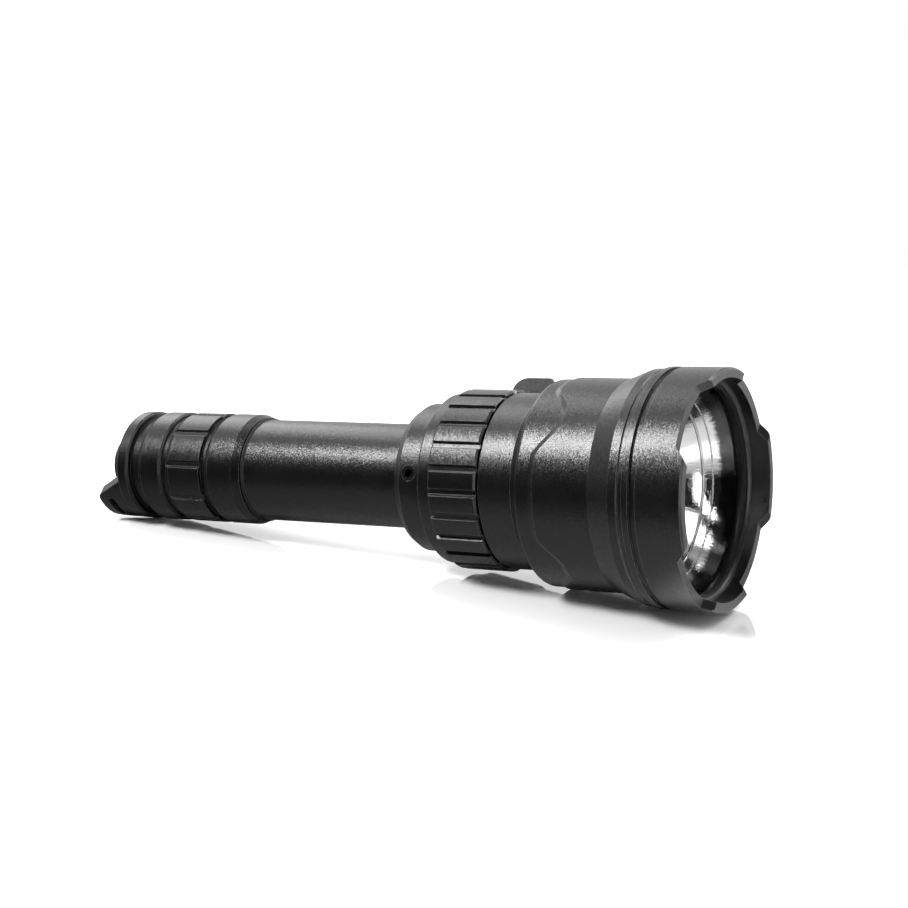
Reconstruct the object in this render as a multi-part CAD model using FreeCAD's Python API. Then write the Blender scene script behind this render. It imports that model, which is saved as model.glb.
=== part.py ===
import FreeCAD, Part
import math
import os

# A handheld infrared torch that stands on its crenellated front bezel.
# Millimetres, +Z from the front of the lamp to its tail switch.
# The origin is on the lamp's axis, in the plane of the bezel's tooth tips.

os.makedirs("parts", exist_ok=True)

# Clearances
thread_gap = 0.05
running_gap = 0.08
free_gap = 0.30
overcut = 1.0
seat_gap = 0.02
face_gap = 0.15
same_place = 0.000001

# Front bezel
bezel_radius = 27.5
bezel_wall = 2.3
bezel_length = 15.2
tooth_count = 4
tooth_depth = 2.2
tooth_tip_angle = 42.5
tooth_root_angle = 54.0
bezel_edge = 0.45
lip_depth = 4.75
lip_thickness = 0.7
lip_width = 0.9
ring_groove_width = 1.7
ring_groove_depth = 0.7
ring_land_width = 1.5
joint_groove_width = 1.2

# Window, its seal and the reflector behind it
seal_thickness = 0.8
seal_width = 1.5
window_thickness = 2.0
window_edge = 0.3
reflector_rim = 1.0
reflector_focus = 6.0
reflector_wall = 0.8
reflector_margin = 1.65
reflector_hole = 6.6

# Head housing
head_land_radius = 27.0
head_land_length = 2.25
head_land_edge = 0.3
cone_length = 5.9
head_radius = 24.65
head_rear = 41.5
head_wall = 2.35
scallop_step = 0.45
scallop_start = 36.9
scallop_height = 4.7
scallop_base_width = 18.8
scallop_top_width = 6.0
scallop_bend = 1.2
scallop_cutter_radius = 4.2
scallop_cutter_dip = 0.02
scallop_sections = 25
rear_edge_round = 1.1
shoulder_length = 3.0
neck_step = 0.7
neck_rear = 52.8
head_bore_end = 38.5
head_bore_taper = 6.5

# Spigot behind the neck, which carries the focus ring and the rear collar
spigot_radius = 18.4
spigot_wall = 2.72
web_thickness = 0.95
web_hole = 11.5
collar_seat_radius = 15.4
collar_seat_length = 9.75
drag_seal_section = 1.2
drag_seal_from_rear = 2.0

# Focus ring and its lever
ring_wall = 3.02
ring_length = 12.6
ring_front_gap = 0.5
ring_edge = 0.4
rib_count = 24
rib_groove_width = 1.8
rib_groove_floor = 1.0
rib_groove_depth = 0.85
rib_first_angle = -76.0
lever_height = 9.1
lever_thickness = 3.2
lever_angle = 44.3
lever_setback = 2.0
lever_rear_round = 3.4
lever_front_round = 1.6
lever_edge = 0.5

# Helical drive between the focus ring and the emitter carriage
focus_travel = 4.5
focus_angle = 80.0
pin_count = 3
pin_radius = 1.4
pin_first_angle = 60.0
cam_depth = 1.4
cam_sections = 11
cam_end_margin = 1.0
carriage_length = 10.0
carriage_wall = 3.6
carriage_pin_from_rear = 2.9
carriage_floor = 3.0
post_radius = 6.0
emitter_from_focus = 1.2
led_board_thickness = 1.6
led_board_margin = 0.4
led_package_side = 5.0
led_package_height = 0.8
led_dome_radius = 2.1

# Rear collar
flange_step = 1.2
flange_length = 3.45
flange_edge = 0.5
collar_wall = 2.35
collar_length = 6.1
collar_bevel_length = 1.9
collar_bevel_depth = 1.2
screw_radius = 1.75
screw_length = 2.0
screw_inset = 0.2
screw_socket = 2.0
screw_socket_depth = 1.2
screw_angle = -79.7
screw_from_flange = 3.6

# Body tube, driver and battery
tube_radius = 12.7
tube_bore = 9.8
tube_visible_end = 124.05
tail_thread_radius = 12.0
tail_thread_length = 12.9
tail_relief_depth = 0.6
tail_relief_length = 1.0
tail_thread_lead = 0.4
tail_seal_bed = 0.8
driver_thickness = 1.6
driver_radius = 12.4
contact_radius = 2.5
contact_height = 2.1
cell_radius = 9.25
cell_length = 65.0
cell_cap_radius = 3.0
cell_cap_height = 1.2
cell_edge = 0.8

# Tail cap
cap_radius = 13.95
tail_seal_length = 1.05
cap_front_radius = 13.2
cap_front_bevel = 2.1
cap_edge = 0.5
land_long = 7.2
grip_groove_width = 1.65
grip_groove_depth = 1.0
grip_length = 10.65
grip_slot_count = 10
grip_slot_width = 2.2
grip_slot_depth = 0.55
grip_slot_floor = 0.45
grip_slot_flare = 0.8
grip_slot_angle = -80.0
land_short_bevel = 1.1
land_short = 7.2
tail_groove_width = 3.3
tail_groove_depth = 1.6
rim_length = 3.6
cap_end_wall = 6.7
cap_bore_radius = 11.2
tail_seal_inset = 0.1
tail_seal_roundness = 0.4
lug_angle = -140.5
lug_height = 7.9
lug_thickness = 2.2
lug_base_width = 17.0
lug_tip_width = 9.6
lug_round = 2.2
lug_slot_length = 7.9
lug_slot_width = 2.4
lug_slot_rise = 4.1
lug_slot_roundness = 0.45
lug_inset = 0.1

# Tail switch
button_radius = 8.2
button_height = 6.0
button_round = 1.6
button_shoulder = 1.3
button_shoulder_height = 1.5
button_travel = 1.5
button_gap = 0.3
plunger_radius = 2.9
plunger_reach = 4.0
switch_radius = 10.4
switch_height = 11.0
switch_board_thickness = 1.6
keeper_height = 2.0
keeper_wall = 2.4
spring_radius = 4.2
spring_wire = 0.45
spring_turns = 2

# Stations along the axis and radii that follow from the sizes above
bezel_bore = bezel_radius - bezel_wall
seal_front = lip_depth + lip_thickness
window_front = seal_front + seal_thickness
window_rear = window_front + window_thickness
head_front = window_rear + reflector_rim
insert_radius = bezel_bore - thread_gap
reflector_mouth = insert_radius - reflector_margin
reflector_depth = reflector_mouth**2 / (4 * reflector_focus)
reflector_apex = window_rear + reflector_depth
emitter_plane = reflector_apex - reflector_focus + emitter_from_focus
cone_front = bezel_length + head_land_length
cone_rear = cone_front + cone_length
head_bore = head_radius - head_wall
neck_front = head_rear + shoulder_length
ring_bore = spigot_radius + running_gap
ring_radius = ring_bore + ring_wall
neck_radius = ring_radius - neck_step
lever_radius = ring_radius + lever_height
ring_front = neck_rear + ring_front_gap
ring_rear = ring_front + ring_length
spigot_rear = ring_rear + face_gap
carriage_bore = spigot_radius - spigot_wall
carriage_radius = carriage_bore - running_gap
web_front = spigot_rear - web_thickness
driver_front = spigot_rear + seat_gap
tube_front = driver_front + driver_thickness
seat_rear = spigot_rear + collar_seat_length
tube_seat = tube_radius + thread_gap
flange_radius = ring_radius - flange_step
collar_radius = collar_seat_radius + thread_gap + collar_wall
flange_rear = spigot_rear + flange_length
collar_rear = flange_rear + collar_length + collar_bevel_length
pin_station = (ring_front + ring_rear) / 2
cam_pitch = focus_travel * 360 / focus_angle
cell_front = tube_front + contact_height + cell_cap_height
cell_rear = cell_front + cell_length
cap_front = tube_visible_end + tail_seal_length
tail_thread_end = cap_front + tail_thread_length
cap_bore = tail_thread_radius + thread_gap * 2
grip_front = cap_front + cap_front_bevel + land_long + land_short_bevel + grip_groove_width
grip_rear = grip_front + grip_length
land_short_front = grip_rear + grip_groove_width
land_short_rear = land_short_front + land_short
rim_front = land_short_rear + tail_groove_width
cap_rear = rim_front + rim_length
end_wall_front = cap_rear - cap_end_wall
button_rear = cap_rear + button_height
button_base = end_wall_front - face_gap - button_shoulder_height
switch_rear = button_base - button_travel - button_gap
switch_front = switch_rear - switch_height
board_front = switch_front - switch_board_thickness


def revolve(points):
    """A full turn about Z of the closed outline given as (radius, z) points."""
    corners = [FreeCAD.Vector(r, 0, z) for r, z in points]
    outline = Part.makePolygon(corners + [corners[0]])
    face = Part.Face(outline)
    return face.revolve(FreeCAD.Vector(0, 0, 0), FreeCAD.Vector(0, 0, 1), 360)


def disc(radius, low, high):
    return Part.makeCylinder(radius, high - low, FreeCAD.Vector(0, 0, low))


def tube(outer, inner, low, high):
    return disc(outer, low, high).cut(disc(inner, low, high))


def prism(points, start, height_vector):
    """A prism of a closed outline given in X and Y at the height of start."""
    corners = [FreeCAD.Vector(x, y, start) for x, y in points]
    face = Part.Face(Part.makePolygon(corners + [corners[0]]))
    return face.extrude(height_vector)


def turned(shape, angle):
    copy = shape.copy()
    copy.rotate(FreeCAD.Vector(0, 0, 0), FreeCAD.Vector(0, 0, 1), angle)
    return copy


def around(shape, count, first_angle=0.0):
    return [turned(shape, first_angle + 360.0 * i / count) for i in range(count)]


def radial_cylinder(radius, inner, outer, height, angle):
    pin = Part.makeCylinder(radius, outer - inner, FreeCAD.Vector(inner, 0, height), FreeCAD.Vector(1, 0, 0))
    return turned(pin, angle)


def at_corner(place, corner):
    return abs(place.y - corner[0]) < same_place and abs(place.z - corner[1]) < same_place


def tangent_plate(corners, inner, outer, angle, rounds=()):
    """A radial prism of an outline drawn in the tangent plane as (sideways, z) points."""
    points = [FreeCAD.Vector(inner, y, z) for y, z in corners]
    face = Part.Face(Part.makePolygon(points + [points[0]]))
    solid = face.extrude(FreeCAD.Vector(outer - inner, 0, 0))
    for radius, picked in rounds:
        edges = []
        for edge in solid.Edges:
            direction = edge.Vertexes[-1].Point - edge.Vertexes[0].Point
            place = edge.Vertexes[0].Point
            along_x = abs(direction.x) > 0.5 * (outer - inner)
            hits = [k for k in picked if at_corner(place, corners[k])]
            if along_x and hits:
                edges.append(edge)
        solid = solid.makeFillet(radius, edges)
    return turned(solid, angle)


def bezel_ring():
    lip_radius = bezel_bore - lip_width
    groove_rear = bezel_length - joint_groove_width - ring_land_width
    groove_front = groove_rear - ring_groove_width
    groove_radius = bezel_radius - ring_groove_depth
    land_front = bezel_length - joint_groove_width
    body = revolve([
        (bezel_bore, 0.0),
        (bezel_radius - bezel_edge, 0.0),
        (bezel_radius, bezel_edge),
        (bezel_radius, groove_front),
        (groove_radius, groove_front),
        (groove_radius, groove_rear),
        (bezel_radius, groove_rear),
        (bezel_radius, land_front),
        (groove_radius, land_front),
        (groove_radius, bezel_length),
        (bezel_bore, bezel_length),
        (bezel_bore, seal_front),
        (lip_radius, seal_front),
        (lip_radius, lip_depth + lip_width / 2),
        (lip_radius + lip_width / 2, lip_depth),
        (bezel_bore, lip_depth),
    ])
    reach = 2 * bezel_radius
    root_half = math.radians(360.0 / tooth_count - tooth_root_angle) / 2
    tip_half = math.radians(360.0 / tooth_count - tooth_tip_angle) / 2
    root_width = bezel_radius * math.sin(root_half)
    tip_width = bezel_radius * math.sin(tip_half)
    slope = (tip_width - root_width) / tooth_depth
    below = tip_width + slope * bezel_edge
    notch = tangent_plate(
        [(-root_width, tooth_depth), (root_width, tooth_depth), (below, -bezel_edge), (-below, -bezel_edge)],
        0.0, reach, 180.0 / tooth_count)
    return body.cut(around(notch, tooth_count))


def window_seal():
    return tube(bezel_bore - thread_gap, bezel_bore - seal_width, seal_front, window_front)


def window_glass():
    return revolve([
        (0.0, window_front),
        (insert_radius - window_edge, window_front),
        (insert_radius, window_front + window_edge),
        (insert_radius, window_rear - window_edge),
        (insert_radius - window_edge, window_rear),
        (0.0, window_rear),
    ])


def reflector():
    """A thin bowl whose inside is a parabola with its focus at the emitter."""
    steps = 8
    radii = [reflector_mouth + (reflector_hole - reflector_mouth) * i / steps for i in range(steps + 1)]
    inner = [FreeCAD.Vector(r, 0, reflector_apex - r * r / (4 * reflector_focus)) for r in radii]
    rim_rear = window_rear + reflector_rim
    back = [FreeCAD.Vector(p.x + reflector_wall, 0, p.z) for p in inner[2::2]]
    start = FreeCAD.Vector(rim_back_radius(), 0, rim_rear)
    corner = FreeCAD.Vector(insert_radius, 0, window_rear)
    corner_rear = FreeCAD.Vector(insert_radius, 0, rim_rear)
    bowl = Part.BSplineCurve()
    bowl.interpolate(inner)
    outside = Part.makePolygon([inner[0], corner, corner_rear, start] + back + [inner[-1]])
    face = Part.Face(Part.Wire([bowl.toShape()] + outside.Edges))
    return face.revolve(FreeCAD.Vector(0, 0, 0), FreeCAD.Vector(0, 0, 1), 360)


def rim_back_radius():
    """The outside radius of the bowl where it meets the rear of its rim."""
    return math.sqrt(reflector_mouth**2 - 4 * reflector_focus * reflector_rim) + reflector_wall


def head_housing():
    low_radius = head_radius - scallop_step
    neck_bore_front = head_bore_end + head_bore_taper
    mouth = rim_back_radius() + free_gap
    band_front = (scallop_start + head_rear) / 2
    body = revolve([
        (mouth, head_front),
        (insert_radius, head_front),
        (insert_radius, bezel_length),
        (head_land_radius - head_land_edge, bezel_length),
        (head_land_radius, bezel_length + head_land_edge),
        (head_land_radius, cone_front),
        (head_radius, cone_rear),
        (head_radius, band_front),
        (low_radius, band_front),
        (low_radius, head_rear),
        (neck_radius, neck_front),
        (neck_radius, neck_rear),
        (spigot_radius, neck_rear),
        (spigot_radius, spigot_rear),
        (collar_seat_radius, spigot_rear),
        (collar_seat_radius, seat_rear),
        (tube_seat, seat_rear),
        (tube_seat, spigot_rear),
        (web_hole, spigot_rear),
        (web_hole, web_front),
        (carriage_bore, web_front),
        (carriage_bore, neck_bore_front),
        (head_bore, head_bore_end),
        (head_bore, cone_rear),
        (mouth, cone_front),
    ])
    rim = [edge for edge in body.Edges
           if abs(edge.BoundBox.ZMin - head_rear) < same_place
           and abs(edge.BoundBox.ZMax - head_rear) < same_place]
    body = body.makeFillet(rear_edge_round, rim)
    body = body.cut(around(scallop_quarter(low_radius, band_front), tooth_count, 180.0 / tooth_count))
    slot_length = focus_travel + 2 * pin_radius + 2 * free_gap
    slot_width = 2 * (pin_radius + free_gap)
    low = pin_station - slot_length / 2
    high = pin_station + slot_length / 2
    slot = tangent_plate(
        [(-slot_width / 2, low), (slot_width / 2, low), (slot_width / 2, high), (-slot_width / 2, high)],
        carriage_bore / 2, spigot_radius + free_gap, 0.0)
    body = body.cut(around(slot, pin_count, pin_first_angle))
    seal_middle = spigot_rear - drag_seal_from_rear
    seal_groove = tube(
        spigot_radius + free_gap, spigot_radius - drag_seal_section - thread_gap,
        seal_middle - drag_seal_section / 2 - thread_gap, seal_middle + drag_seal_section / 2 + thread_gap)
    return body.cut(seal_groove)


def scallop_rise(along):
    """The wave's forward reach at a distance along the surface from a lobe's middle."""
    flank = (scallop_base_width - scallop_top_width) / 2
    bends = [-scallop_bend, -scallop_bend / 2, 0.0, scallop_bend / 2, scallop_bend]
    rises = [(scallop_base_width / 2 - abs(along + bend)) / flank for bend in bends]
    return scallop_height * sum(min(max(rise, 0.0), 1.0) for rise in rises) / len(rises)


def scallop_section(low_radius, rear, angle):
    """The wave's profile at one angle: a round cutter's arc up to the step's sharp edge."""
    outer = head_radius + free_gap
    floor = low_radius - scallop_cutter_dip
    centre = floor + scallop_cutter_radius
    edge = scallop_start - scallop_rise(math.radians(angle) * head_radius)
    centre_z = edge + math.sqrt(scallop_cutter_radius**2 - (centre - head_radius)**2)

    def on_arc(radius):
        drop = math.sqrt(scallop_cutter_radius**2 - (centre - radius)**2)
        return FreeCAD.Vector(radius, 0, centre_z - drop)

    start = on_arc(floor)
    end = on_arc(outer)
    arc = Part.Arc(start, on_arc((low_radius + head_radius) / 2), end).toShape()
    corners = [end, FreeCAD.Vector(outer, 0, rear), FreeCAD.Vector(floor, 0, rear), start]
    return turned(Part.Wire([arc] + Part.makePolygon(corners).Edges), angle)


def scallop_quarter(low_radius, rear):
    """The cutter for one lobe and half of the straight stretch on each side of it."""
    half = 180.0 / tooth_count
    step = 2 * half / (scallop_sections - 1)
    sections = [scallop_section(low_radius, rear, -half + step * i) for i in range(scallop_sections)]
    cutter = Part.makeLoft(sections, True, False)
    return cutter.cut(disc(low_radius, 0.0, head_rear))


def drag_seal():
    """A ring of square section in the groove under the focus ring."""
    middle = spigot_rear - drag_seal_from_rear
    outer = spigot_radius - thread_gap
    half = drag_seal_section / 2
    return tube(outer, outer - drag_seal_section, middle - half, middle + half)


def rib_groove():
    half_top = rib_groove_width / 2
    half_floor = rib_groove_floor / 2
    floor = ring_radius - rib_groove_depth
    outside = ring_radius + ring_edge
    spread = (half_top - half_floor) * ring_edge / rib_groove_depth
    points = [
        (floor, -half_floor),
        (floor, half_floor),
        (outside, half_top + spread),
        (outside, -half_top - spread),
    ]
    return prism(points, ring_front - overcut, FreeCAD.Vector(0, 0, ring_length + 2 * overcut))


def cam_groove():
    """One helical groove inside the focus ring, lofted through radial sections."""
    inner = spigot_radius - free_gap
    outer = spigot_radius + running_gap + cam_depth
    half_width = pin_radius + free_gap
    half_turn = focus_angle / 2 + math.degrees(half_width / spigot_radius) + cam_end_margin
    sections = []
    for i in range(cam_sections):
        angle = -half_turn + 2 * half_turn * i / (cam_sections - 1)
        height = pin_station + cam_pitch * angle / 360.0
        corners = [
            FreeCAD.Vector(inner, 0, height - half_width),
            FreeCAD.Vector(outer, 0, height - half_width),
            FreeCAD.Vector(outer, 0, height + half_width),
            FreeCAD.Vector(inner, 0, height + half_width),
        ]
        section = Part.makePolygon(corners + [corners[0]])
        sections.append(turned(section, angle))
    return Part.makeLoft(sections, True, False)


def focus_ring():
    body = revolve([
        (ring_bore, ring_front),
        (ring_radius - ring_edge, ring_front),
        (ring_radius, ring_front + ring_edge),
        (ring_radius, ring_rear - ring_edge),
        (ring_radius - ring_edge, ring_rear),
        (ring_bore, ring_rear),
    ])
    body = body.cut(around(rib_groove(), rib_count, rib_first_angle))
    body = body.fuse(throw_lever())
    return body.cut(around(cam_groove(), pin_count, pin_first_angle)).removeSplitter()


def throw_lever():
    """A thin fin that stands on the ring, with a large round at its rear corner."""
    half = lever_thickness / 2
    root = (ring_bore + ring_radius) / 2
    rear = ring_rear - lever_setback
    corners = [
        FreeCAD.Vector(root, -half, ring_front),
        FreeCAD.Vector(lever_radius, -half, ring_front),
        FreeCAD.Vector(lever_radius, -half, rear),
        FreeCAD.Vector(root, -half, rear),
    ]
    face = Part.Face(Part.makePolygon(corners + [corners[0]]))
    fin = face.extrude(FreeCAD.Vector(0, lever_thickness, 0))
    for station, radius in ((ring_front, lever_front_round), (rear, lever_rear_round)):
        picked = [edge for edge in fin.Edges
                  if abs(edge.BoundBox.XMin - lever_radius) < same_place
                  and abs(edge.BoundBox.ZMin - station) < same_place
                  and abs(edge.BoundBox.ZMax - station) < same_place]
        fin = fin.makeFillet(radius, picked)
    side_edges = [edge for edge in fin.Edges
                  if edge.BoundBox.YLength < same_place
                  and edge.BoundBox.XMax > ring_radius
                  and edge.Length > lever_edge]
    fin = fin.makeChamfer(lever_edge, side_edges)
    return turned(fin, lever_angle)


def rear_collar():
    seat = collar_seat_radius + thread_gap
    throat = tube_radius + thread_gap
    bevel_front = collar_rear - collar_bevel_length
    body = revolve([
        (seat, spigot_rear),
        (flange_radius - flange_edge / 2, spigot_rear),
        (flange_radius, spigot_rear + flange_edge / 2),
        (flange_radius, flange_rear - flange_edge),
        (flange_radius - flange_edge, flange_rear),
        (collar_radius, flange_rear),
        (collar_radius, bevel_front),
        (collar_radius - collar_bevel_depth, collar_rear),
        (throat, collar_rear),
        (throat, seat_rear),
        (seat, seat_rear),
    ])
    hole = radial_cylinder(screw_radius + seat_gap, seat / 2, collar_radius + overcut,
                           flange_rear + screw_from_flange, screw_angle)
    keep_out = disc(seat, 0, cap_rear)
    return body.cut(hole.cut(keep_out))


def collar_screw():
    height = flange_rear + screw_from_flange
    outer = collar_radius - screw_inset
    inner = outer - screw_length
    screw = radial_cylinder(screw_radius, inner, outer, height, 0.0)
    corner = screw_socket / math.sqrt(3)
    corners = [FreeCAD.Vector(outer, corner * math.cos(math.radians(60 * k)),
                              height + corner * math.sin(math.radians(60 * k))) for k in range(6)]
    face = Part.Face(Part.makePolygon(corners + [corners[0]]))
    socket = face.extrude(FreeCAD.Vector(-screw_socket_depth, 0, 0))
    return turned(screw.cut(socket), screw_angle)


def cam_pin(index):
    angle = pin_first_angle + 360.0 * index / pin_count
    tip = spigot_radius + running_gap + cam_depth - free_gap
    return radial_cylinder(pin_radius, carriage_radius - carriage_wall + free_gap, tip, pin_station, angle)


def carriage_stations():
    rear = pin_station + carriage_pin_from_rear
    front = rear - carriage_length
    post_front = emitter_plane + led_board_thickness + led_package_height
    return front, rear, post_front


def led_carriage():
    front, rear, post_front = carriage_stations()
    cup_radius = carriage_radius - carriage_wall
    body = revolve([
        (0.0, post_front),
        (post_radius, post_front),
        (post_radius, front),
        (carriage_radius, front),
        (carriage_radius, rear),
        (cup_radius, rear),
        (cup_radius, front + carriage_floor),
        (0.0, front + carriage_floor),
    ])
    seat_radius = pin_radius + seat_gap
    seat = radial_cylinder(seat_radius, cup_radius + free_gap, carriage_radius + free_gap, pin_station, 0.0)
    return body.cut(around(seat, pin_count, pin_first_angle))


def led_board():
    front = emitter_plane + led_package_height
    return disc(post_radius - led_board_margin, front, front + led_board_thickness)


def led_package():
    side = led_package_side
    corner = FreeCAD.Vector(-side / 2, -side / 2, emitter_plane)
    return Part.makeBox(side, side, led_package_height, corner)


def led_dome():
    ball = Part.makeSphere(led_dome_radius, FreeCAD.Vector(0, 0, emitter_plane))
    return ball.common(disc(led_dome_radius * 2, emitter_plane - led_dome_radius, emitter_plane))


def driver_board():
    return disc(driver_radius, driver_front, tube_front)


def driver_contact():
    return disc(contact_radius, tube_front, tube_front + contact_height)


def battery_cell():
    return revolve([
        (0.0, cell_front - cell_cap_height),
        (cell_cap_radius, cell_front - cell_cap_height),
        (cell_cap_radius, cell_front),
        (cell_radius - cell_edge, cell_front),
        (cell_radius, cell_front + cell_edge),
        (cell_radius, cell_rear - cell_edge),
        (cell_radius - cell_edge, cell_rear),
        (0.0, cell_rear),
    ])


def body_tube():
    seal_floor = tube_radius - tail_seal_bed
    relief_radius = tail_thread_radius - tail_relief_depth
    relief_end = cap_front + tail_relief_length
    return revolve([
        (tube_bore, tube_front),
        (tube_radius, tube_front),
        (tube_radius, tube_visible_end),
        (seal_floor, tube_visible_end),
        (seal_floor, cap_front),
        (relief_radius, cap_front),
        (relief_radius, relief_end),
        (tail_thread_radius, relief_end + tail_thread_lead),
        (tail_thread_radius, tail_thread_end - tail_relief_depth),
        (relief_radius, tail_thread_end),
        (tube_bore, tail_thread_end),
    ])


def tail_seal():
    inner = tube_radius - tail_seal_bed + seat_gap
    outer = cap_front_radius - tail_seal_inset
    low = tube_visible_end + seat_gap
    high = cap_front - seat_gap
    corner = (high - low) * tail_seal_roundness
    return revolve([
        (inner, low),
        (outer - corner, low),
        (outer, low + corner),
        (outer, high - corner),
        (outer - corner, high),
        (inner, high),
    ])


def grip_slot():
    floor = cap_radius - grip_slot_depth
    outside = cap_radius + overcut
    half = grip_slot_width / 2
    half_floor = half * grip_slot_floor
    half_outside = half + grip_slot_flare
    points = [(floor, -half_floor), (floor, half_floor), (outside, half_outside), (outside, -half_outside)]
    return prism(points, grip_front, FreeCAD.Vector(0, 0, grip_length))


def lug():
    """The curved lanyard tab that rises from the tail rim."""
    outer = cap_radius - lug_inset
    inner = outer - lug_thickness
    base = cap_rear - rim_length / 2
    top = cap_rear + lug_height
    shell = tube(outer, inner, base, top)
    outline = [
        (-lug_base_width / 2, base),
        (lug_base_width / 2, base),
        (lug_base_width / 2, cap_rear),
        (lug_tip_width / 2, top),
        (-lug_tip_width / 2, top),
        (-lug_base_width / 2, cap_rear),
    ]
    plate = tangent_plate(outline, inner / 2, outer + overcut, 0.0, rounds=[(lug_round, (3, 4))])
    tab = shell.common(plate)
    slot_middle = cap_rear + lug_slot_rise
    half = lug_slot_length / 2
    low = slot_middle - lug_slot_width / 2
    high = slot_middle + lug_slot_width / 2
    slot_outline = [(-half, low), (half, low), (half, high), (-half, high)]
    slot = tangent_plate(slot_outline, inner / 2, outer + 2 * overcut, 0.0,
                         rounds=[(lug_slot_width * lug_slot_roundness, (0, 1, 2, 3))])
    return turned(tab.cut(slot), lug_angle)


def tail_cap():
    groove_radius = cap_radius - grip_groove_depth
    tail_radius = cap_radius - tail_groove_depth
    bevel = land_short_bevel
    body = revolve([
        (cap_bore, cap_front),
        (cap_front_radius, cap_front),
        (cap_radius, cap_front + cap_front_bevel),
        (cap_radius, cap_front + cap_front_bevel + land_long),
        (cap_radius - cap_edge, grip_front - grip_groove_width),
        (groove_radius, grip_front - grip_groove_width),
        (groove_radius, grip_front),
        (cap_radius, grip_front),
        (cap_radius, grip_rear - bevel),
        (cap_radius - cap_edge, grip_rear),
        (groove_radius, grip_rear),
        (groove_radius, land_short_front),
        (cap_radius - cap_edge, land_short_front),
        (cap_radius, land_short_front + cap_edge),
        (cap_radius, land_short_rear - bevel),
        (cap_radius - cap_edge, land_short_rear),
        (tail_radius, land_short_rear),
        (tail_radius, rim_front),
        (cap_radius - cap_edge, rim_front),
        (cap_radius, rim_front + cap_edge),
        (cap_radius, cap_rear - cap_edge),
        (cap_radius - cap_edge, cap_rear),
        (button_radius + free_gap, cap_rear),
        (button_radius + free_gap, end_wall_front),
        (cap_bore_radius, end_wall_front),
        (cap_bore_radius, tail_thread_end + free_gap),
        (cap_bore, tail_thread_end + free_gap),
    ])
    body = body.cut(around(grip_slot(), grip_slot_count, grip_slot_angle))
    return body.fuse(lug()).removeSplitter()


def switch_board():
    return disc(cap_bore_radius - thread_gap, board_front, switch_front)


def switch_body():
    body = disc(switch_radius, switch_front, switch_rear)
    bore_front = switch_rear - plunger_reach - button_travel - button_gap
    return body.cut(disc(plunger_radius + running_gap, bore_front, switch_rear))


def switch_keeper():
    outer = cap_bore_radius - thread_gap
    return tube(outer, outer - keeper_wall, board_front - keeper_height, board_front)


def tail_spring():
    """A short coil of tilted half turns that stands on the switch board and bears on the cell."""
    first = cell_rear + spring_wire + seat_gap
    last = board_front - spring_wire - seat_gap
    half_turns = 2 * spring_turns
    rise = (last - first) / half_turns
    coil = None
    for k in range(half_turns):
        side = 1 if k % 2 == 0 else -1
        low = first + k * rise
        centre = FreeCAD.Vector(side * spring_radius, 0, low)
        section = Part.makeCircle(spring_wire, centre, FreeCAD.Vector(0, 1, 0))
        middle = FreeCAD.Vector(0, 0, low + rise / 2)
        axis = FreeCAD.Vector(side * rise, 0, 2 * spring_radius)
        half = Part.Face(Part.Wire([section])).revolve(middle, axis, 180)
        coil = half if coil is None else coil.fuse(half)
    return coil.removeSplitter()


def tail_button():
    button = disc(button_radius, button_base, button_rear)
    top = [edge for edge in button.Edges if edge.Curve.TypeId == "Part::GeomCircle"
           and abs(edge.Curve.Center.z - button_rear) < same_place]
    button = button.makeFillet(button_round, top)
    shoulder = disc(button_radius + button_shoulder, button_base, button_base + button_shoulder_height)
    return button.fuse(shoulder).removeSplitter()


def switch_plunger():
    return disc(plunger_radius, switch_rear - plunger_reach, button_base)


pieces = {
    "bezel_ring": bezel_ring(),
    "window_seal": window_seal(),
    "window_glass": window_glass(),
    "reflector": reflector(),
    "head_housing": head_housing(),
    "drag_seal": drag_seal(),
    "focus_ring": focus_ring(),
    "rear_collar": rear_collar(),
    "collar_screw": collar_screw(),
    "led_carriage": led_carriage(),
    "led_board": led_board(),
    "led_package": led_package(),
    "led_dome": led_dome(),
    "driver_board": driver_board(),
    "driver_contact": driver_contact(),
    "battery_cell": battery_cell(),
    "body_tube": body_tube(),
    "tail_seal": tail_seal(),
    "tail_cap": tail_cap(),
    "switch_keeper": switch_keeper(),
    "switch_board": switch_board(),
    "switch_body": switch_body(),
    "switch_plunger": switch_plunger(),
    "tail_button": tail_button(),
    "tail_spring": tail_spring(),
}
for pin_index in range(pin_count):
    pieces["cam_pin_%d" % (pin_index + 1)] = cam_pin(pin_index)

for name, shape in pieces.items():
    if shape.ShapeType == "Compound" and len(shape.Solids) == 1:
        shape = shape.Solids[0]
    box = shape.BoundBox
    print("%-16s solids %d valid %s volume %9.1f  z %7.2f to %7.2f  r %6.2f" % (
        name, len(shape.Solids), shape.isValid(), shape.Volume, box.ZMin, box.ZMax, box.XMax))
    shape.exportStep("parts/" + name + ".step")
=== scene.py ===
import math

import bpy
from mathutils import Matrix, Vector


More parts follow.
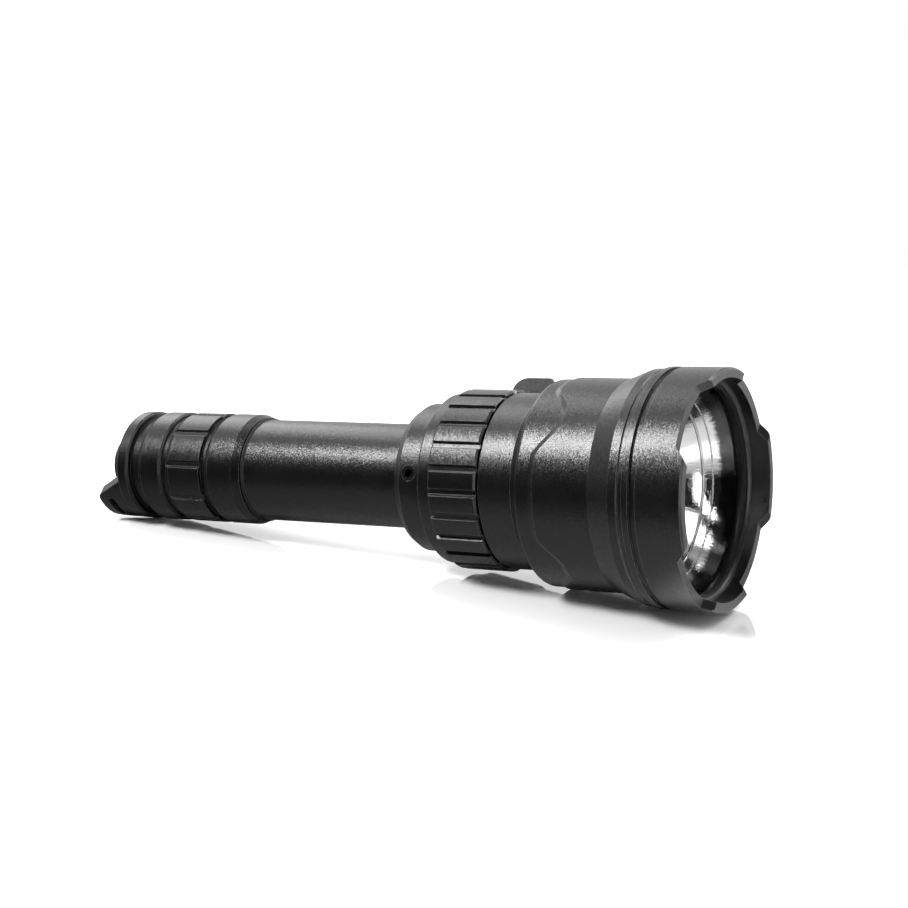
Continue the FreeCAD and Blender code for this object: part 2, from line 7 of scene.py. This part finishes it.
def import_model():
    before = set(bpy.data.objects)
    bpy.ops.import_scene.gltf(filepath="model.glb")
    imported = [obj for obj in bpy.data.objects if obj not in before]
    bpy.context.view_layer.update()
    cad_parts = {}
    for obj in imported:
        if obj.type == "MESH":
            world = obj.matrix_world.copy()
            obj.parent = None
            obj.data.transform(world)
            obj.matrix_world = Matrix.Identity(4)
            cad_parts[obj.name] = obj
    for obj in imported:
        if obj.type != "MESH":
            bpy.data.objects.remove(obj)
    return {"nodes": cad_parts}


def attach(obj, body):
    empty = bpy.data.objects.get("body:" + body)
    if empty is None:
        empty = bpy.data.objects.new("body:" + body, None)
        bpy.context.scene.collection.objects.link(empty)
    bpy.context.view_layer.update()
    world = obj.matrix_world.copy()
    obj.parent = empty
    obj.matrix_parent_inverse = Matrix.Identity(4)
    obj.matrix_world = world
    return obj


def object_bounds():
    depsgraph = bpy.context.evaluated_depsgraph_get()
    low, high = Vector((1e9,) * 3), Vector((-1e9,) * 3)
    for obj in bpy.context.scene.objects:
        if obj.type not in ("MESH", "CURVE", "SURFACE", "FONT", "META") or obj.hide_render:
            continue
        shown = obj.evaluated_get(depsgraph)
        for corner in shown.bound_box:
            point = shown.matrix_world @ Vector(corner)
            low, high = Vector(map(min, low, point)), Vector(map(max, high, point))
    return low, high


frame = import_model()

# An infrared torch that lies on a polished white table.
# Metres, in the torch's own frame: +Z runs from its front bezel to its tail switch.
# Directions in the view are given as right, down and forward from the camera.

MM = 0.001
WHITE = (1.0, 1.0, 1.0, 1.0)

# The camera, and the torch's axis as the camera sees it
LENS_MM = 78.35
SENSOR_MM = 36.0
CLIP_NEAR = 0.01
CLIP_FAR = 20.0
AXIS_TO_HEAD = Vector((0.8671, 0.0330, -0.4970)).normalized()
AXIS_POINT = Vector((-0.0281, 0.00469, 0.49184))
AXIS_POINT_FROM_FRONT = 0.1033
NEAR_SIDE = Vector((-0.497, 0.0, -0.868))
ROLL_OF_X = math.radians(83.5)

# The table that the torch lies on, under the bezel's land and the tail's rim
BEZEL_RADIUS = 27.5 * MM
BEZEL_CONTACT = 14.0 * MM
TAIL_RADIUS = 13.95 * MM
TAIL_CONTACT = 163.0 * MM
TABLE_HALF = 1.6

# The table to the camera: its colour, its mirror image, and how far it reaches before it is
# plain white
TABLE_BRIGHT = 1.08
TABLE_MIRROR = 0.55
TABLE_MIRROR_ROUGHNESS = 0.03
TABLE_LIT = 0.25

# The table to the torch: grey round the bezel, and nearly black to the camera's near left, a
# painted shade that the torch's lower side mirrors
TABLE_GREY = 0.6
TABLE_DARK = 0.04
TABLE_DARK_WAY = (-0.9, 0.0, -0.436)
TABLE_DARK_SPAN = (0.02, 0.14)

# A painted pool of light on the table in front of the bezel, which the bowl mirrors: its place
# in the view's directions from the middle of the bezel's front, and the radii where it fades
PATCH_PLACE = (0.012, 0.0335, -0.015)
PATCH_PAINTED_LIGHT = 1.75
PATCH_SPAN = (0.026, 0.040)

# The white backdrop, to the torch: full behind it and gone in front of it
BACKDROP_WAY = (0.0, -0.45, 0.9)
BACKDROP_SPAN = (0.0, 0.6)

# Soft boxes: name, direction, width and height, radiance, and the share of the torch's length,
# from its front, at which they are aimed
LAMP_DISTANCE = 0.9
LAMPS = [
    ("key", (-0.65, -0.645, -0.39), (0.26, 0.26), 35.0, 0.4),
    ("top", (-0.35, -0.82, 0.48), (0.3, 0.8), 2.4, 0.4),
    ("front", (0.6, 0.0, -0.8), (0.26, 0.5), 3.4, 0.4),
    ("over", (0.37, -0.68, -0.62), (0.2, 0.6), 3.0, 0.1),
    ("strip", (0.21, 0.0, -0.977), (0.02, 1.1), 9.0, 0.1),
    ("side", (0.86, -0.02, 0.5), (0.5, 0.5), 3.5, 0.4),
    ("rim", (0.55, -0.8, 0.2), (0.3, 0.3), 6.0, 0.1),
]

# The reflector's bowl, its band painted dark as a painted dark reflection, and the two turned
# beads inside it
BOWL_FOCUS = 6.0 * MM
BOWL_RIM_RADIUS = 23.5 * MM
BOWL_RIM_HEIGHT = 8.25 * MM
BAND_RADIUS = 21.7 * MM
BAND_EDGE = 0.5 * MM
BAND_STRAY = 0.3 * MM
BEAD_RADIUS = 19.9 * MM
BEAD_SIZE = 0.35 * MM
KNURL_RADIUS = 21.1 * MM
KNURL_SIZE = 0.25 * MM
KNURL_COUNT = 120
KNURL_DEPTH = 0.6
RING_STEPS = 720
RING_SIDES = 10

# The anodised metal: its blasted pits, its fine grain, and its edges lightened partly as rubbed
# wear and partly as a painted highlight
BLACK_SHADES = (0.004, 0.006)
BLACK_ROUGHNESS = (0.27, 0.32)
PIT_SIZE = 0.22 * MM
PIT_TILT = 0.13
GRAIN_DEPTH = 0.02 * MM
EDGE_ROUND = 0.2 * MM
EDGE_WEAR_AND_HIGHLIGHT = 0.18
EDGE_COSINES = (0.996, 0.93)

# The middle part of a noise's range, in which nearly all of it lies
NOISE_LOW = 0.3
NOISE_HIGH = 0.7

cad_low, cad_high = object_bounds()
nodes = frame["nodes"]


# The view's directions in the torch's frame

def view_basis():
    """The matrix that turns directions in the torch's frame into the view's."""
    tail_way = -AXIS_TO_HEAD
    near = (NEAR_SIDE - NEAR_SIDE.dot(AXIS_TO_HEAD) * AXIS_TO_HEAD).normalized()
    above = tail_way.cross(near)
    x_way = math.cos(ROLL_OF_X) * near + math.sin(ROLL_OF_X) * above
    y_way = tail_way.cross(x_way)
    return Matrix((x_way, y_way, tail_way)).transposed()


BASIS = view_basis()
ORIGIN_IN_VIEW = AXIS_POINT + AXIS_POINT_FROM_FRONT * AXIS_TO_HEAD


def to_frame(direction):
    """A direction given as right, down, forward, in the torch's frame."""
    return BASIS.transposed() @ Vector(direction)


def link(thing):
    bpy.context.scene.collection.objects.link(thing)


# Node helpers

class Graph:
    """A material's nodes, with short ways to add and join them."""

    def __init__(self, tree):
        self.nodes = tree.nodes
        self.links = tree.links

    def add(self, kind, inputs=None, **values):
        node = self.nodes.new(kind)
        for key, value in values.items():
            setattr(node, key, value)
        for key, value in (inputs or {}).items():
            self.put(node.inputs[key], value)
        return node

    def put(self, socket, value):
        if isinstance(value, bpy.types.NodeSocket):
            self.links.new(value, socket)
        else:
            socket.default_value = value

    def math(self, operation, first, second=0.0):
        return self.add("ShaderNodeMath", {0: first, 1: second}, operation=operation).outputs[0]

    def vector(self, operation, first, second=None):
        """A vector made of one or two vectors."""
        inputs = {0: first} if second is None else {0: first, 1: second}
        return self.add("ShaderNodeVectorMath", inputs, operation=operation).outputs[0]

    def measure(self, operation, first, second=None):
        """A number made of one or two vectors."""
        inputs = {0: first} if second is None else {0: first, 1: second}
        node = self.add("ShaderNodeVectorMath", inputs, operation=operation)
        return node.outputs["Value"]

    def scaled(self, vector, amount):
        node = self.add("ShaderNodeVectorMath", {0: vector, "Scale": amount}, operation="SCALE")
        return node.outputs[0]

    def combined(self, **parts):
        return self.add("ShaderNodeCombineXYZ", parts).outputs[0]

    def noise(self, vector, scale, detail=2.0, roughness=0.5):
        node = self.add("ShaderNodeTexNoise", {
            "Vector": vector, "Scale": scale, "Detail": detail, "Roughness": roughness})
        return node.outputs["Fac"]

    def span(self, value, low, high, new_low, new_high):
        node = self.add("ShaderNodeMapRange", {
            "Value": value, "From Min": low, "From Max": high,
            "To Min": new_low, "To Max": new_high})
        return node.outputs["Result"]

    def spread(self, noise, new_low, new_high):
        """The middle part of a noise's range, stretched between two values."""
        return self.span(noise, NOISE_LOW, NOISE_HIGH, new_low, new_high)

    def blend(self, amount, first, second):
        node = self.add("ShaderNodeMix", data_type="RGBA")
        self.put(node.inputs["Factor"], amount)
        self.put(node.inputs["A"], first)
        self.put(node.inputs["B"], second)
        return node.outputs["Result"]

    def bump(self, height, strength, distance, normal=None):
        node = self.add("ShaderNodeBump", {
            "Height": height, "Strength": strength, "Distance": distance})
        if normal is not None:
            self.put(node.inputs["Normal"], normal)
        return node.outputs["Normal"]


def grey(value):
    return (value, value, value, 1.0)


def two_shades(colour):
    """A slightly darker colour and the colour itself."""
    return tuple(0.85 * c for c in colour) + (1.0,), tuple(colour) + (1.0,)


def new_material(name, **constants):
    """A material with one Principled shader, and the constants set on its own sockets."""
    material = bpy.data.materials.new(name)
    material.use_nodes = True
    graph = Graph(material.node_tree)
    shader = graph.nodes["Principled BSDF"]
    for key, value in constants.items():
        shader.inputs[key.replace("_", " ")].default_value = value
    return material, graph, shader


def object_point(graph):
    return graph.add("ShaderNodeTexCoord").outputs["Object"]


# Materials

def anodised_black():
    """Black anodised aluminium, blasted with fine beads before it was dyed."""
    material, graph, shader = new_material("anodised_black", Specular_IOR_Level=0.6)
    point = object_point(graph)
    patches = graph.noise(point, 90.0, detail=3.0, roughness=0.6)
    graph.put(shader.inputs["Roughness"], graph.spread(patches, *BLACK_ROUGHNESS))
    dark, light = BLACK_SHADES
    colour = graph.blend(graph.spread(patches, 0.0, 1.0), grey(dark), grey(light))

    # Where the surface turns within the width of the rounded edge the colour is lightened:
    # partly dye rubbed thin, partly a painted highlight along the edge.
    rounded = graph.add("ShaderNodeBevel", {"Radius": EDGE_ROUND}, samples=4).outputs["Normal"]
    plain = graph.add("ShaderNodeNewGeometry").outputs["Normal"]
    turned = graph.measure("DOT_PRODUCT", rounded, plain)
    edge = graph.span(turned, *EDGE_COSINES, 0.0, 1.0)
    wear_and_highlight = graph.span(graph.noise(point, 700.0, detail=3.0, roughness=0.6), 0.35, 0.6, 0.3, 1.0)
    rubbed_and_highlighted = graph.math("MULTIPLY", edge, wear_and_highlight)
    graph.put(shader.inputs["Base Color"], graph.blend(rubbed_and_highlighted, colour, grey(EDGE_WEAR_AND_HIGHLIGHT)))

    # Each pit tilts the surface its own way.
    pits = graph.add("ShaderNodeTexVoronoi", {"Vector": point, "Scale": 1 / PIT_SIZE})
    tilt = graph.vector("SUBTRACT", pits.outputs["Color"], (0.5, 0.5, 0.5))
    tilt = graph.scaled(tilt, PIT_TILT)
    faceted = graph.vector("NORMALIZE", graph.vector("ADD", rounded, tilt))
    grain = graph.noise(point, 9000.0, detail=1.0, roughness=0.5)
    graph.put(shader.inputs["Normal"], graph.bump(grain, 0.5, GRAIN_DEPTH, faceted))
    return material


def rubber(name, shade):
    material, graph, shader = new_material(name, Specular_IOR_Level=0.4)
    point = object_point(graph)
    cloud = graph.noise(point, 700.0, detail=3.0, roughness=0.6)
    colour = graph.blend(cloud, grey(shade * 0.8), grey(shade * 1.2))
    graph.put(shader.inputs["Base Color"], colour)
    graph.put(shader.inputs["Roughness"], graph.spread(cloud, 0.45, 0.6))
    graph.put(shader.inputs["Normal"], graph.bump(graph.noise(point, 3000.0), 0.2, 0.03 * MM))
    return material


def window_glass():
    """Flat clear glass with an anti-reflection coat and a little dust on it."""
    material, graph, shader = new_material(
        "window_glass", Roughness=0.02, IOR=1.5, Specular_IOR_Level=0.25)
    point = object_point(graph)
    specks = graph.add("ShaderNodeTexVoronoi", {"Vector": point, "Scale": 420.0})
    dust = graph.span(specks.outputs["Distance"], 0.03, 0.06, 1.0, 0.0)
    graph.put(shader.inputs["Base Color"], graph.blend(dust, grey(0.02), grey(0.7)))
    graph.put(shader.inputs["Alpha"], graph.span(dust, 0.0, 1.0, 0.08, 0.5))
    return material


def reflector_bowl():
    """Polished, finely turned metal with fine streaks, and a band next to its rim painted dark
    as a painted dark reflection.
    """
    material, graph, shader = new_material("reflector_bowl", Metallic=1.0)
    point = object_point(graph)
    parts = graph.add("ShaderNodeSeparateXYZ", {0: point}).outputs

    # Streaks run down the bowl: they change quickly round the axis and slowly along it.
    angle = graph.math("ARCTAN2", parts["Y"], parts["X"])
    unrolled = graph.combined(
        X=graph.math("COSINE", angle), Y=graph.math("SINE", angle),
        Z=graph.math("MULTIPLY", parts["Z"], 8.0))
    streaks = graph.noise(unrolled, 34.0, detail=4.0, roughness=0.7)

    # Next to the rim a ragged band is painted nearly black: a painted dark reflection.
    radius = graph.measure("LENGTH", graph.combined(X=parts["X"], Y=parts["Y"]))
    ragged = graph.math("ADD", radius, graph.spread(streaks, -BAND_STRAY, BAND_STRAY))
    black = graph.span(ragged, BAND_RADIUS, BAND_RADIUS + BAND_EDGE, 0.0, 1.0)
    haze = graph.noise(point, 140.0, detail=3.0, roughness=0.6)
    bright = graph.blend(haze, grey(0.8), grey(0.93))
    graph.put(shader.inputs["Base Color"], graph.blend(black, bright, grey(0.08)))
    graph.put(shader.inputs["Roughness"], graph.span(streaks, 0.35, 0.65, 0.01, 0.04))

    turned = graph.noise(graph.combined(X=radius), 2600.0, detail=2.0, roughness=0.6)
    rings = graph.bump(turned, 0.12, 0.06 * MM)
    graph.put(shader.inputs["Normal"], graph.bump(streaks, 0.35, 0.08 * MM, rings))
    return material


def metal(name, colour, roughness):
    """Turned or drawn metal with faint tool marks round Z."""
    material, graph, shader = new_material(name, Metallic=1.0)
    stretched = graph.add("ShaderNodeMapping", {
        "Vector": object_point(graph), "Scale": (60.0, 60.0, 9000.0)})
    lines = graph.noise(stretched.outputs[0], 1.0, detail=2.0, roughness=0.5)
    graph.put(shader.inputs["Base Color"], graph.blend(lines, *two_shades(colour)))
    graph.put(
        shader.inputs["Roughness"], graph.spread(lines, roughness * 0.8, roughness * 1.2))
    graph.put(shader.inputs["Normal"], graph.bump(lines, 0.2, 0.02 * MM))
    return material


def plastic(name, colour, roughness):
    material, graph, shader = new_material(name, Specular_IOR_Level=0.5)
    point = object_point(graph)
    cloud = graph.noise(point, 500.0, detail=3.0, roughness=0.6)
    graph.put(shader.inputs["Base Color"], graph.blend(cloud, *two_shades(colour)))
    graph.put(
        shader.inputs["Roughness"], graph.spread(cloud, roughness * 0.85, roughness * 1.15))
    graph.put(shader.inputs["Normal"], graph.bump(graph.noise(point, 2500.0), 0.1, 0.02 * MM))
    return material


def clear_dome():
    material, graph, shader = new_material(
        "clear_dome", Roughness=0.02, IOR=1.45, Transmission_Weight=1.0)
    cloud = graph.noise(object_point(graph), 900.0)
    graph.put(shader.inputs["Base Color"], graph.blend(cloud, grey(0.94), grey(1.0)))
    return material


def dress(names, material):
    for name in names:
        slots = nodes[name].data.materials
        slots.clear()
        slots.append(material)


def dress_nodes():
    dress(
        ["bezel_ring", "head_housing", "focus_ring", "rear_collar", "body_tube", "tail_cap"],
        anodised_black())
    dress(["window_seal", "tail_seal", "drag_seal"], rubber("seal_rubber", 0.012))
    dress(["tail_button"], rubber("button_rubber", 0.02))
    dress(["window_glass"], window_glass())
    dress(["reflector"], reflector_bowl())
    dress(["collar_screw"], metal("black_screw", (0.05, 0.05, 0.05), 0.35))
    dress(["led_carriage"], metal("bare_aluminium", (0.75, 0.75, 0.76), 0.3))
    dress(
        ["cam_pin_1", "cam_pin_2", "cam_pin_3", "tail_spring"],
        metal("ground_steel", (0.6, 0.6, 0.61), 0.25))
    dress(
        ["driver_contact", "switch_keeper"],
        metal("turned_brass", (0.78, 0.6, 0.25), 0.28))
    dress(["led_board"], plastic("white_board", (0.8, 0.8, 0.78), 0.4))
    dress(["led_package"], plastic("ceramic", (0.75, 0.75, 0.7), 0.5))
    dress(["led_dome"], clear_dome())
    dress(["driver_board", "switch_board"], plastic("green_board", (0.03, 0.2, 0.09), 0.35))
    dress(["battery_cell"], plastic("cell_wrap", (0.1, 0.2, 0.38), 0.3))
    dress(
        ["switch_body", "switch_plunger"],
        plastic("switch_black", (0.025, 0.025, 0.025), 0.5))


# Turned beads on the reflector's bowl

def bowl_ring(name, radius, size, count, depth, material):
    """A bead that runs round the bowl, half sunk into it, and is knurled if it has a depth."""
    height = BOWL_RIM_HEIGHT + (BOWL_RIM_RADIUS ** 2 - radius ** 2) / (4 * BOWL_FOCUS)
    points = []
    for i in range(RING_STEPS):
        turn = 2 * math.pi * i / RING_STEPS
        bead = size * (1 - depth * (0.5 + 0.5 * math.cos(count * turn)))
        for j in range(RING_SIDES):
            side = 2 * math.pi * j / RING_SIDES
            reach = radius + bead * math.cos(side)
            rise = height + bead * math.sin(side)
            points.append((reach * math.cos(turn), reach * math.sin(turn), rise))
    faces = []
    for i in range(RING_STEPS):
        here, there = i * RING_SIDES, (i + 1) % RING_STEPS * RING_SIDES
        for j in range(RING_SIDES):
            after = (j + 1) % RING_SIDES
            faces.append((here + j, there + j, there + after, here + after))
    mesh = bpy.data.meshes.new(name)
    mesh.from_pydata(points, [], faces)
    mesh.polygons.foreach_set("use_smooth", [True] * len(faces))
    mesh.materials.append(material)
    ring = bpy.data.objects.new(name, mesh)
    link(ring)
    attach(ring, "main_body")


def bowl_rings():
    polished = metal("bright_bead", (0.9, 0.9, 0.9), 0.08)
    bowl_ring("reflector_bead", BEAD_RADIUS, BEAD_SIZE, 0, 0.0, polished)
    bowl_ring(
        "reflector_knurl", KNURL_RADIUS, KNURL_SIZE, KNURL_COUNT, KNURL_DEPTH, polished)


# The table, the lamps and the camera

def table_normal():
    """The table's upward direction: level in the photograph, and touching bezel and tail."""
    lean = math.atan2(BEZEL_RADIUS - TAIL_RADIUS, TAIL_CONTACT - BEZEL_CONTACT)
    above = -AXIS_TO_HEAD.y
    behind = -AXIS_TO_HEAD.z
    pitch = math.asin(math.sin(lean) / math.hypot(above, behind)) - math.atan2(above, behind)
    return Vector((0.0, -math.cos(pitch), -math.sin(pitch)))


def table():
    up = to_frame(table_normal())
    outward = Vector((-up.x, -up.y, 0.0)).normalized()
    contact = BEZEL_RADIUS * outward + Vector((0.0, 0.0, BEZEL_CONTACT))
    middle = contact + (cad_high.z / 2) * (Vector((0, 0, 1)) - up.z * up)
    turn = up.to_track_quat("Z", "Y").to_matrix().to_4x4()
    corners = [
        (TABLE_HALF * x, TABLE_HALF * y, 0.0) for x, y in ((-1, -1), (1, -1), (1, 1), (-1, 1))]
    mesh = bpy.data.meshes.new("table")
    mesh.from_pydata(corners, [], [(0, 1, 2, 3)])
    mesh.materials.append(table_material())
    plate = bpy.data.objects.new("table", mesh)
    plate.matrix_world = Matrix.Translation(middle) @ turn
    link(plate)


def table_material():
    """Polished white: a soft shadow, a mirror image of the torch, and clear from below."""
    material = bpy.data.materials.new("white_table")
    material.use_nodes = True
    graph = Graph(material.node_tree)
    graph.nodes.clear()
    seen = graph.add("ShaderNodeLightPath").outputs["Is Camera Ray"]
    geometry = graph.add("ShaderNodeNewGeometry").outputs
    place = geometry["Position"]

    # To the torch it is grey, with painted shade on one side and a painted pool of light in one
    # patch.
    away = graph.measure("DOT_PRODUCT", place, tuple(to_frame(TABLE_DARK_WAY)))
    painted_shade_near_left = graph.span(away, *TABLE_DARK_SPAN, TABLE_GREY, TABLE_DARK)
    ahead = graph.measure("DISTANCE", place, tuple(to_frame(PATCH_PLACE)))
    painted_light_patch = graph.span(ahead, *PATCH_SPAN, PATCH_PAINTED_LIGHT, 0.0)
    shade = graph.math("MAXIMUM", painted_shade_near_left, painted_light_patch)
    tone = graph.add("ShaderNodeMix", {0: seen, 2: shade, 3: TABLE_BRIGHT}, data_type="FLOAT")
    matt = graph.add("ShaderNodeBsdfDiffuse", {"Color": tone.outputs[0]})
    mirror = graph.add("ShaderNodeBsdfGlossy", {
        "Color": graph.math("MULTIPLY", seen, TABLE_MIRROR),
        "Roughness": TABLE_MIRROR_ROUGHNESS})
    close = graph.add("ShaderNodeAddShader", {0: matt.outputs[0], 1: mirror.outputs[0]})

    # Far from the torch the camera sees plain white.
    spread = graph.measure("DISTANCE", place, (0.0, 0.0, cad_high.z / 2))
    far = graph.span(spread, TABLE_LIT, 2 * TABLE_LIT, 0.0, 1.0)
    white = graph.add("ShaderNodeEmission", {"Color": WHITE, "Strength": 1.0})
    faced = graph.add("ShaderNodeMixShader", {
        0: graph.math("MULTIPLY", seen, far), 1: close.outputs[0], 2: white.outputs[0]})

    clear = graph.add("ShaderNodeBsdfTransparent")
    whole = graph.add("ShaderNodeMixShader", {
        0: geometry["Backfacing"], 1: faced.outputs[0], 2: clear.outputs[0]})
    graph.add("ShaderNodeOutputMaterial", {"Surface": whole.outputs[0]})
    return material


def lamp(name, direction, size, radiance, aim):
    """A soft box that faces the torch, with its width along the camera's right."""
    data = bpy.data.lights.new(name, "AREA")
    data.shape = "RECTANGLE"
    data.size, data.size_y = size
    data.energy = radiance * math.pi * size[0] * size[1]
    lamp_object = bpy.data.objects.new(name, data)
    way = to_frame(Vector(direction).normalized())
    right = to_frame((1, 0, 0))
    wide = (right - right.dot(way) * way).normalized()
    middle = Vector((0.0, 0.0, cad_high.z * aim))
    lamp_object.matrix_world = Matrix.Translation(middle + LAMP_DISTANCE * way) @ Matrix(
        (wide, way.cross(wide), way)).transposed().to_4x4()
    lamp_object.visible_camera = False
    link(lamp_object)


def world():
    """White to the camera; for reflections white behind the torch and dark in front of it."""
    scene_world = bpy.data.worlds.new("studio")
    bpy.context.scene.world = scene_world
    scene_world.use_nodes = True
    graph = Graph(scene_world.node_tree)
    graph.nodes.clear()
    way = graph.add("ShaderNodeTexCoord").outputs["Generated"]
    behind = graph.measure("DOT_PRODUCT", way, tuple(to_frame(BACKDROP_WAY).normalized()))
    backdrop = graph.span(behind, *BACKDROP_SPAN, 0.0, 1.0)
    seen = graph.add("ShaderNodeLightPath").outputs["Is Camera Ray"]
    strength = graph.math("MAXIMUM", seen, backdrop)
    light = graph.add("ShaderNodeBackground", {"Color": WHITE, "Strength": strength})
    graph.add("ShaderNodeOutputWorld", {"Surface": light.outputs[0]})


def camera():
    data = bpy.data.cameras.new("camera")
    data.lens = LENS_MM
    data.sensor_width = SENSOR_MM
    data.clip_start = CLIP_NEAR
    data.clip_end = CLIP_FAR
    eye = bpy.data.objects.new("camera", data)
    right = to_frame((1, 0, 0))
    up = to_frame((0, -1, 0))
    back = to_frame((0, 0, -1))
    eye.matrix_world = Matrix.Translation(to_frame(-ORIGIN_IN_VIEW)) @ Matrix(
        (right, up, back)).transposed().to_4x4()
    link(eye)
    bpy.context.scene.camera = eye


bpy.context.scene.view_settings.view_transform = "Standard"
dress_nodes()
bowl_rings()
table()
for row in LAMPS:
    lamp(*row)
world()
camera()
